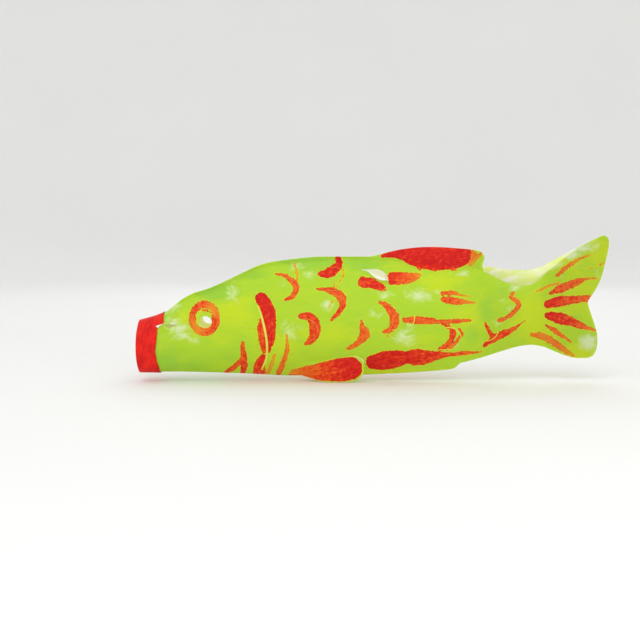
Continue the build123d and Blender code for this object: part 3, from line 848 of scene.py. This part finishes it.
class Graph:
    """Short ways to add the nodes of one material."""

    def __init__(self, name):
        self.material = bpy.data.materials.new(name)
        self.material.use_nodes = True
        self.nodes = self.material.node_tree.nodes
        self.links = self.material.node_tree.links
        self.shader = self.nodes["Principled BSDF"]

    def let_light_through(self):
        """Light spreads inside the thin sheet and comes out on its far side."""
        self.shader.inputs["Subsurface Weight"].default_value = 0.9
        self.shader.inputs["Subsurface Radius"].default_value = (1.0, 1.0, 1.0)
        self.shader.inputs["Subsurface Scale"].default_value = 0.0015

    def put(self, socket, value):
        if isinstance(value, bpy.types.NodeSocket):
            self.links.new(value, socket)
        else:
            socket.default_value = value

    def field(self, name, output="Fac"):
        node = self.nodes.new("ShaderNodeAttribute")
        node.attribute_name = name
        return node.outputs[output]

    def place(self):
        return self.nodes.new("ShaderNodeTexCoord").outputs["Object"]

    def math(self, operation, a, b):
        node = self.nodes.new("ShaderNodeMath")
        node.operation = operation
        self.put(node.inputs[0], a)
        self.put(node.inputs[1], b)
        return node.outputs[0]

    def times(self, a, b):
        return self.math("MULTIPLY", a, b)

    def plus(self, *terms):
        total = terms[0]
        for term in terms[1:]:
            total = self.math("ADD", total, term)
        return total

    def swing(self, value, amount):
        """A value from 0 to 1, moved to swing about 0 and scaled."""
        return self.times(self.math("SUBTRACT", value, 0.5), amount)

    def noise(self, vector, scale, detail=3.0, roughness=0.5, distortion=0.0, stretch=None):
        if stretch:
            mapping = self.nodes.new("ShaderNodeMapping")
            mapping.inputs["Scale"].default_value = stretch
            self.put(mapping.inputs["Vector"], vector)
            vector = mapping.outputs[0]
        node = self.nodes.new("ShaderNodeTexNoise")
        self.put(node.inputs["Vector"], vector)
        values = {"Scale": scale, "Detail": detail, "Roughness": roughness, "Distortion": distortion}
        for socket, value in values.items():
            node.inputs[socket].default_value = value
        return node.outputs["Fac"]

    def between(self, value, low, high, to_low=0.0, to_high=1.0):
        """Smooth step of value from low to high."""
        node = self.nodes.new("ShaderNodeMapRange")
        node.interpolation_type = "SMOOTHSTEP"
        sockets = ("Value", "From Min", "From Max", "To Min", "To Max")
        for socket, number in zip(sockets, (value, low, high, to_low, to_high)):
            self.put(node.inputs[socket], number)
        return node.outputs[0]

    def mix(self, share, a, b):
        node = self.nodes.new("ShaderNodeMix")
        node.data_type = "RGBA"
        self.put(node.inputs["Factor"], share)
        self.put(node.inputs["A"], a)
        self.put(node.inputs["B"], b)
        return node.outputs["Result"]

    def split(self, vector):
        node = self.nodes.new("ShaderNodeSeparateXYZ")
        self.put(node.inputs[0], vector)
        return node.outputs

    def join(self, x, y, z=0.0):
        node = self.nodes.new("ShaderNodeCombineXYZ")
        for socket, value in zip(node.inputs, (x, y, z)):
            self.put(socket, value)
        return node.outputs[0]

    def bump(self, height, strength, distance):
        node = self.nodes.new("ShaderNodeBump")
        node.inputs["Strength"].default_value = strength
        node.inputs["Distance"].default_value = distance
        self.put(node.inputs["Height"], height)
        self.put(self.shader.inputs["Normal"], node.outputs["Normal"])

    def finish(self, colour, roughness, specular=None):
        """Colour, roughness and gloss of the surface; returns the material."""
        self.put(self.shader.inputs["Base Color"], colour)
        self.put(self.shader.inputs["Roughness"], roughness)
        if specular is not None:
            self.shader.inputs["Specular IOR Level"].default_value = specular
        return self.material


LIME = srgb(165, 202, 44)
YELLOW_LIME = srgb(188, 209, 32)
DEEP_GREEN = srgb(147, 193, 55)
PALE_WASH = srgb(208, 226, 172)
DEEP_RED = srgb(196, 12, 18)
BRIGHT_RED = srgb(222, 42, 18)
BAND_RED = srgb(236, 40, 26)
ORANGE = srgb(238, 104, 30)
PAINT_EDGE = srgb(150, 38, 18)
HALO_YELLOW = srgb(214, 220, 40)
CUT_YELLOW = srgb(232, 226, 62)
PAPER_WHITE = srgb(236, 234, 222)
SOAKED_WASH = srgb(206, 222, 118)
SOAKED_RED = srgb(232, 150, 130)
FLOOR_GREYS = (srgb(240, 240, 238), srgb(244, 244, 242))

# Strength of the painted glow: light that the inner face gives off, standing in for light coming through the
# paper
PAINTED_GLOW = 0.22


def wash_colour(g, rest, tint):
    """The green wash: brushed on thin, with yellower, greener and nearly bare patches."""
    pale, yellow, deep = tint
    cloud = g.noise(rest, 0.021, 3.0, 0.55, 0.3)
    brushed = g.noise(rest, 0.16, 5.0, 0.62, 0.6, stretch=(0.3, 1.0, 1.0))
    grain = g.noise(rest, 0.9, 3.0, 0.6)
    loose = g.swing(brushed, 1.1)
    yellow = g.plus(yellow, loose, g.times(cloud, 0.8))
    colour = g.mix(g.between(yellow, 0.35, 1.15, 0.0, 0.95), LIME, YELLOW_LIME)
    deep = g.plus(deep, g.times(loose, -0.9), g.times(cloud, 0.3))
    colour = g.mix(g.between(deep, 0.35, 1.2), colour, DEEP_GREEN)
    puff = g.noise(rest, 0.12, 5.0, 0.66, 0.7, stretch=(0.75, 1.0, 1.0))
    blotch = g.plus(pale, g.swing(puff, 2.0), g.swing(grain, 0.45))
    colour = g.mix(g.between(blotch, 0.3, 1.2, 0.0, 0.9), colour, PALE_WASH)
    drag = g.noise(rest, 0.75, 4.0, 0.65, stretch=(0.12, 1.0, 1.0))
    return g.mix(g.between(drag, 0.42, 0.72, 0.0, 0.06), colour, PALE_WASH)


def painted_paper(name):
    """Outer face of the paper: green wash under red brush strokes with dry ends."""
    g = Graph(name)
    rest = g.field("rest", "Vector")
    tint = g.split(g.field("tint", "Vector"))
    along, across, dry = g.split(g.field("brush", "Vector"))
    paint = g.field("paint")
    colour = wash_colour(g, rest, tint)
    # How deep inside a stroke, once its edge is ragged and its dry end is streaked
    bristle = g.noise(g.join(g.times(along, 0.05), g.times(across, 0.9)), 1.0, 3.0, 0.7)
    ragged = g.swing(g.noise(rest, 0.55, 4.0, 0.65), g.plus(2.2, g.times(dry, 2.0)))
    wobble = g.swing(g.noise(rest, 0.17, 3.0, 0.6), 3.4)
    combed = g.swing(g.noise(rest, 0.75, 3.0, 0.6, stretch=(1.0, 0.22, 1.0)), g.plus(1.4, g.times(dry, 1.2)))
    depth = g.plus(paint, ragged, wobble, combed, g.swing(bristle, g.times(dry, 3.6)))
    colour = g.mix(g.times(g.between(depth, -0.95, 0.0), 0.7), colour, HALO_YELLOW)
    # The red itself: orange where the brush was dry, darker along the edge
    patch = g.noise(rest, 0.22, 5.0, 0.68)
    shade = g.plus(g.times(dry, 1.2), g.swing(bristle, 1.9), g.swing(patch, 2.4))
    red = g.mix(g.between(shade, -0.15, 0.45), DEEP_RED, BRIGHT_RED)
    red = g.mix(g.between(shade, 0.35, 1.0), red, ORANGE)
    rim = g.math("SUBTRACT", g.between(depth, 0.0, 0.2), g.between(depth, 0.3, 0.9))
    worn = g.between(g.noise(rest, 0.35, 2.0, 0.5), 0.35, 0.6, 0.25, 0.95)
    red = g.mix(g.times(rim, worn), red, PAINT_EDGE)
    thin = g.between(g.plus(g.times(dry, 0.8), g.times(bristle, 0.9)), 1.0, 1.5, 1.0, 0.45)
    cover = g.times(g.between(depth, -0.05, 0.2), thin)
    colour = g.mix(cover, colour, red)
    # A thin yellow line along the cuts, fainter under red paint
    bare = g.times(g.between(g.field("cut"), 0.75, 0.25), g.between(paint, -1.5, 0.5, 0.0, 0.95))
    colour = g.mix(bare, colour, CUT_YELLOW)
    fibre = g.noise(rest, 2.2, 3.0, 0.7)
    slub = g.noise(rest, 0.16, 3.0, 0.5, stretch=(0.6, 1.0, 1.0))
    ridges = g.times(g.times(bristle, cover), 0.3)
    g.bump(g.plus(g.times(fibre, 0.25), g.times(slub, 1.2), ridges), 0.35, 0.0006)
    g.let_light_through()
    return g.finish(colour, g.between(cover, 0.0, 1.0, 0.75, 0.55), 0.15)


def bare_paper_and_painted_glow(name):
    """Inner face: unpainted paper where the wash has soaked through and lets some light in, plus a painted
    glow (emission) that stands in for more of that light.
    """
    g = Graph(name)
    rest = g.field("rest", "Vector")
    brushed = g.noise(rest, 0.11, 4.0, 0.6, 0.4, stretch=(0.35, 1.0, 1.0))
    soaked = g.between(g.plus(brushed, g.times(g.field("inner"), 0.5)), 0.3, 0.7, 0.1, 0.95)
    colour = g.mix(soaked, PAPER_WHITE, SOAKED_WASH)
    colour = g.mix(g.between(g.field("paint"), 0.0, 1.2, 0.0, 0.22), colour, SOAKED_RED)
    # Painted glow: the inner face emits a faint light that stands in for light coming through the paper,
    # fading out near the open ends
    along = g.split(rest)[0]
    painted_glow_share = g.times(g.between(along, 20.0, 70.0), g.between(along, 380.0, 330.0))
    g.put(g.shader.inputs["Emission Color"], g.mix(painted_glow_share, (0.0, 0.0, 0.0, 1.0), colour))
    g.shader.inputs["Emission Strength"].default_value = PAINTED_GLOW
    g.bump(g.noise(rest, 1.6, 4.0, 0.7), 0.3, 0.0004)
    g.let_light_through()
    return g.finish(colour, 0.85, 0.2)


def cut_paper(name):
    """Cut edge of the sheet: bare, fibrous and faintly green."""
    g = Graph(name)
    fibre = g.noise(g.field("rest", "Vector"), 3.0, 3.0, 0.7)
    return g.finish(g.mix(g.between(fibre, 0.3, 0.7), srgb(168, 204, 66), srgb(188, 214, 92)), 0.9)


def plain_material(name, colours, scale, roughness, strength, distance):
    """Material mottled between two colours by the place on the object."""
    g = Graph(name)
    place = g.place()
    mottle = g.noise(place, scale, 4.0, 0.6)
    g.bump(g.noise(place, scale * 8, 3.0, 0.6), strength, distance)
    return g.finish(g.mix(g.between(mottle, 0.3, 0.7), *colours), roughness)


def band_material(name):
    """Red band: thick brushed paint with long bristle marks round the mouth."""
    g = Graph(name)
    rest = g.field("rest", "Vector")
    bristle = g.noise(rest, 0.8, 4.0, 0.65, stretch=(1.0, 0.12, 1.0))
    patch = g.noise(rest, 0.06, 3.0, 0.6)
    shade = g.plus(g.times(bristle, 0.5), g.times(patch, 0.6))
    colour = g.mix(g.between(shade, 0.38, 0.68), DEEP_RED, BAND_RED)
    colour = g.mix(g.between(g.field("cut"), 0.9, 0.2, 0.0, 0.55), colour, PAINT_EDGE)
    ragged = g.swing(g.noise(rest, 0.6, 3.0, 0.6), 1.2)
    colour = g.mix(g.between(g.plus(g.field("wedge"), ragged), -0.1, 0.3), colour, PAPER_WHITE)
    g.bump(bristle, 0.4, 0.0005)
    return g.finish(colour, 0.5, 0.15)


def floor_material(name):
    g = Graph(name)
    return g.finish(g.mix(g.noise(g.place(), 3.0), *FLOOR_GREYS), 0.9)


# ---------------------------------------------------------------- pieces

def is_curled(surface, number):
    return surface.side == LEFT and number == CURLED


def root_lead(surface, number):
    """How far ahead of its root in the frame a scale's flap starts."""
    return CURL_LEAD if is_curled(surface, number) else ROOT_LEAD


def side_sheet(surface, word, scales, materials):
    """One whole side of the folded sheet with its tail layer, windows and cuts."""
    windows = [surface.flat(scale_loop(*place[1:], lead=root_lead(surface, number)))
               for number, place in enumerate(scales)]
    windows.append(surface.flat(fin_window_loop()))
    openings = [surface.flat(ellipse(EYE_AT, EYE_HOLE)),
                surface.flat(ellipse(NOSTRIL_AT, NOSTRIL_SIZE, NOSTRIL_TILT)),
                surface.flat(slit_loop(GILL, GILL_WIDTH))]
    flat, faces = fill(side_loop(surface), windows + openings, STEP)
    points, normals = shaped(surface, flat)
    rims = [(cut_line(window), hush) for window, hush in zip(windows, CUT_HUSH + [FIN_WINDOW_HUSH])]
    rims += [(resample(hole, RIM_STEP), hush) for hole, hush in zip(openings, OPENING_HUSH)]
    fields = paint_fields(points, flat, SIDE_STROKES, rims)
    return paper_mesh(word + "_side_sheet", points, normals, faces, fields, materials)


def scale_flap(surface, place, number, materials):
    """One scale: cut free on three sides, its free end standing off; one is curled open."""
    name, root, tip, foot, top = place
    loop = surface.flat(scale_loop(root, tip, foot, top, CUT_WIDTH, root_lead(surface, number)))
    curl = is_curled(surface, number)
    strokes = [s for s in SCALE_STROKES + THIN_STROKES if not (curl and s is CURL_NEIGHBOUR)]
    flat, faces = fill(loop, [], FLAP_STEP)
    points, normals = shaped(surface, flat)
    fields = paint_fields(points, flat, strokes, [(cut_line(loop), CUT_HUSH[number])])
    rise = SCALE_LIFTS[number] * ease(root - 1, tip, flat[:, 0]) ** 1.3
    points = points + normals * rise[:, None]
    if curl:
        points = curled(points, root, tip, top, surface.side)
        normals = mesh_normals(points, faces, normals)
    return paper_mesh(name + "_paper", points, normals, faces, fields, materials)


def curled(points, root, tip, top, side):
    """Rolls the part of a scale above its diagonal outwards and over, so its window shows."""
    start = np.array((root - CURL_LEAD, top - CURL_DROPS[0]))
    end = np.array((tip, top - CURL_DROPS[1]))
    run = (end - start) / np.linalg.norm(end - start)
    up = np.array((-run[1], run[0]))
    above = np.clip((points[:, [0, 2]] - start) @ up, 0, None)
    turn = above / CURL_RADIUS
    shift = CURL_RADIUS * np.sin(turn) - above
    away = side * CURL_RADIUS * (1 - np.cos(turn))
    return points + columns(shift * up[0], away, shift * up[1])


def mesh_normals(points, faces, like):
    """Vertex normals of a triangle mesh, on the same side as the given ones."""
    a, b, c = (points[faces[:, k]] for k in range(3))
    face_normals = np.cross(b - a, c - a)
    total = np.zeros_like(points)
    for k in range(3):
        np.add.at(total, faces[:, k], face_normals)
    total /= np.linalg.norm(total, axis=1)[:, None].clip(1e-9)
    return -total if (total * like).sum() < 0 else total


def fin_share(x):
    """0 at the pectoral fin's root, 1 at its tip."""
    return (x - FIN_ROOT_X) / (FIN_TIP_X - FIN_ROOT_X)


def fin_drop(x):
    """Height of the pectoral fin from its upper edge down."""
    return FIN_ROOT_DROP + (FIN_REAR_DROP - FIN_ROOT_DROP) * np.clip(fin_share(x), 0, 1)


def pectoral_fin(surface, word, materials):
    """Long flap that follows the belly at its root and hangs straight behind it."""
    a = np.linspace(-math.pi / 2, math.pi / 2, 21)
    rear = columns(FIN_TIP_X - FIN_NOSE + FIN_NOSE * np.cos(a) ** 0.8, 0.5 - 0.5 * np.sin(a))
    start = FIN_ROOT_X - ROOT_LEAD
    shares = np.vstack(([start, 1.0], rear, [start, 0.0]))
    loop = columns(shares[:, 0], shares[:, 1] * fin_drop(shares[:, 0]))
    flat, faces = fill(loop, [], FLAP_STEP)
    x = flat[:, 0]
    down = flat[:, 1] / fin_drop(x)
    top = fin_top(x) - CUT_WIDTH
    belly_z = top + (FIN_WINDOW_FOOT + CUT_WIDTH - top) * down
    on_belly, _ = shaped(surface, surface.flat(columns(x, belly_z)))
    on_top, _ = shaped(surface, surface.flat(columns(x, top)))
    wave = FIN_WAVE[0] * ripple(columns(flat, x * 0), FIN_WAVE[1], 7)
    hang_y = np.abs(on_top[:, 1]) + FIN_STAND_OFF - FIN_TUCK * down ** 2 + wave
    hanging = columns(x, surface.side * hang_y, top - fin_drop(x) * down)
    points = on_belly + (hanging - on_belly) * ease(0, FIN_FREE_SHARE, fin_share(x))[:, None]
    normals = mesh_normals(points, faces, np.tile((0.0, float(surface.side), 0.0), (len(points), 1)))
    fields = paint_fields(points, flat, FIN_STROKES, [(cut_line(loop), FIN_HUSH)])
    return paper_mesh(word + "_pectoral_fin_paper", points, normals, faces, fields, materials)


def tail_glue_film(material):
    """Thin film of dried glue that holds the two tail layers together."""
    flat, faces = fill(np.array(TAIL_GLUE, float), [], GLUE_STEP)
    outer = columns(flat[:, 0], np.zeros(len(flat)), flat[:, 1])
    outer[:, 1] += tail_wave(outer) + GLUE_THICKNESS / 2
    away = np.tile((0.0, 1.0, 0.0), (len(flat), 1))
    return paper_mesh("tail_glue_film", outer, away, faces, {}, [material] * 3, GLUE_THICKNESS)


def wedge_field(points):
    """Distance inside the unpainted wedge at the band's rear edge, on the left side."""
    spots = seen(points)
    corners = np.array(BAND_WEDGE)
    depth = np.full(len(points), 99.0)
    for a, b in zip(corners, np.roll(corners, -1, axis=0)):
        run = (b - a) / np.linalg.norm(b - a)
        depth = np.minimum(depth, (spots - a) @ np.array((-run[1], run[0])))
    return np.where(points[:, 1] < 0, depth, -9.0)


def mouth_band(material):
    """Red band: a strip glued round the mouth, with a rolled front rim and an uneven rear edge."""
    angles = np.linspace(0, 2 * math.pi, BAND_AROUND, endpoint=False)
    across, upward = np.cos(angles), np.sin(angles)
    top, low = float(flow(BACK, BAND_MIDDLE)), float(flow(BELLY, BAND_MIDDLE))

    def waver(third, amount, size, seed):
        return amount * ripple(columns(across * 20, upward * 28, third), size, seed)

    def ring(x, offset):
        top, low = flow(BACK, x) - flow(SEAM_DEPTH, x), flow(BELLY, x)
        bow = BAND_BOW * across ** 2 * ease(24, 0, x)
        out = offset + waver(x * 0.6, 0.25, 9, 6)
        wide = flow(BULGE[LEFT], x) + FOLD_OFFSET + out
        return columns(x - bow, wide * across, (top + low) / 2 + ((top - low) / 2 + out) * upward)

    rear = flow(BAND_EDGE, (top + low) / 2 + upward * (top - low) / 2) + waver(angles * 0, 0.35, 2.6, 5)
    shares = np.linspace(0, 1, BAND_LENGTHWISE)
    reach = np.minimum(rear, BAND_REACH)
    rows = [ring(BAND_START + (rear - BAND_START) * s, BAND_GAP + BAND_WALL) for s in shares]
    rows += [ring(BAND_START + (reach - BAND_START) * s, BAND_GAP) for s in shares[::-1]]
    for turn in math.pi * np.arange(1, 5) / 5:
        front = np.full(BAND_AROUND, BAND_START - BAND_ROLL * math.sin(turn))
        rows.append(ring(front, BAND_GAP + BAND_WALL * (1 - math.cos(turn)) / 2))
    points = np.vstack(rows)
    run = np.tile(angles * 25, len(rows))
    cut = np.full((len(rows), BAND_AROUND), FAR_FROM_CUT)
    cut[:BAND_LENGTHWISE] = (1 - shares[:, None]) * 20
    fields = {"rest": columns(points[:, 0], run, run * 0), "cut": cut.ravel(),
              "wedge": wedge_field(points)}
    return add_piece("mouth_band_paper", points, ring_faces(len(rows), BAND_AROUND, True), fields, [material])


# ---------------------------------------------------------------- stage, light and camera

def stage(low_z):
    """Pale floor just under the fish, swept up all round into a wall well away from it."""
    turns = np.arange(1, FLOOR_BEND_STEPS + 1) / FLOOR_BEND_STEPS * math.pi / 2
    bend = [(FLOOR_REACH + FLOOR_BEND * math.sin(t), FLOOR_BEND * (1 - math.cos(t))) for t in turns]
    profile = [(FLOOR_HEART, 0.0), (FLOOR_REACH, 0.0), *bend, (FLOOR_REACH + FLOOR_BEND, WALL_HEIGHT)]
    angles = 2 * math.pi * np.arange(FLOOR_AROUND) / FLOOR_AROUND
    points = np.vstack([columns(FLOOR_MIDDLE + reach * np.cos(angles), reach * np.sin(angles),
                                angles * 0 + low_z + height) for reach, height in profile])
    faces = [tuple(range(FLOOR_AROUND))]
    faces += [face[::-1] for face in ring_faces(len(profile), FLOOR_AROUND, False)]
    add_piece("floor", points, faces, {}, [floor_material("floor_paper")])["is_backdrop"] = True


def area_light(name, at, look, size, power):
    data = bpy.data.lights.new(name, "AREA")
    data.shape = "RECTANGLE"
    data.size, data.size_y = size
    data.energy = power
    light = put_in_scene(name, data)
    light.location = at
    light.rotation_euler = (Vector(look) - Vector(at)).to_track_quat("-Z", "Y").to_euler()


def lights():
    middle = LOOK_AT * MM
    area_light("key", (middle.x - 0.3, -1.1, 1.5), middle, (1.4, 1.0), 6.9)
    area_light("fill", (middle.x + 0.5, -1.5, 0.3), middle, (1.4, 0.8), 6)
    area_light("rear", (middle.x + 0.2, 1.5, 1.2), middle, (1.6, 1.0), 5)
    world = bpy.data.worlds.new("studio")
    world.use_nodes = True
    background = world.node_tree.nodes["Background"]
    background.inputs["Color"].default_value = (0.99, 0.99, 1.0, 1.0)
    background.inputs["Strength"].default_value = 0.86
    bpy.context.scene.world = world


def camera():
    data = bpy.data.cameras.new("camera")
    data.sensor_width = 36.0
    data.lens = 18.0 / (VIEW_WIDTH / 2 / EYE_DISTANCE)
    data.clip_start = 0.01
    data.clip_end = 50
    eye = put_in_scene("camera", data)
    eye.location = EYE * MM
    eye.rotation_euler = (LOOK_AT - EYE).to_track_quat("-Z", "Y").to_euler()
    bpy.context.scene.camera = eye


# ---------------------------------------------------------------- assembly

def main():
    camera()
    lights()
    paper = [painted_paper("painted_paper"), bare_paper_and_painted_glow("bare_paper_and_painted_glow"), cut_paper("cut_paper")]
    card = plain_material("ring_card", (srgb(206, 196, 176), srgb(224, 216, 198)), 60.0, 0.85, 0.3, 0.0004)
    glue = plain_material("dried_glue", (srgb(226, 224, 210), srgb(240, 238, 226)), 200.0, 0.4, 0.2, 0.0002)
    for side, word in ((LEFT, "left"), (RIGHT, "right")):
        surface = Side(side)
        scales = scale_places(word)
        sheet = side_sheet(surface, word, scales, paper)
        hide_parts(word + "_side_panel", word + "_tail_fin")
        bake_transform(sheet)
        for number, place in enumerate(scales):
            flap = scale_flap(surface, place, number, paper)
            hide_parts(place[0])
            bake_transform(flap)
        fin = pectoral_fin(surface, word, paper)
        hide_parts(word + "_pectoral_fin")
        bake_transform(fin)
    band = mouth_band(band_material("red_band_paint"))
    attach(band, "fish_body")
    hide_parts("mouth_band")
    film = tail_glue_film(glue)
    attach(film, "tail")
    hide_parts("tail_glue")
    for name, material in (("mouth_ring", card), ("back_seam_glue", glue)):
        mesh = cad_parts[name].data
        mesh.materials.clear()
        mesh.materials.append(material)
    stage(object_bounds()[0][2] / MM - FLOOR_GAP)


main()
bpy.context.scene.view_settings.view_transform = "Standard"
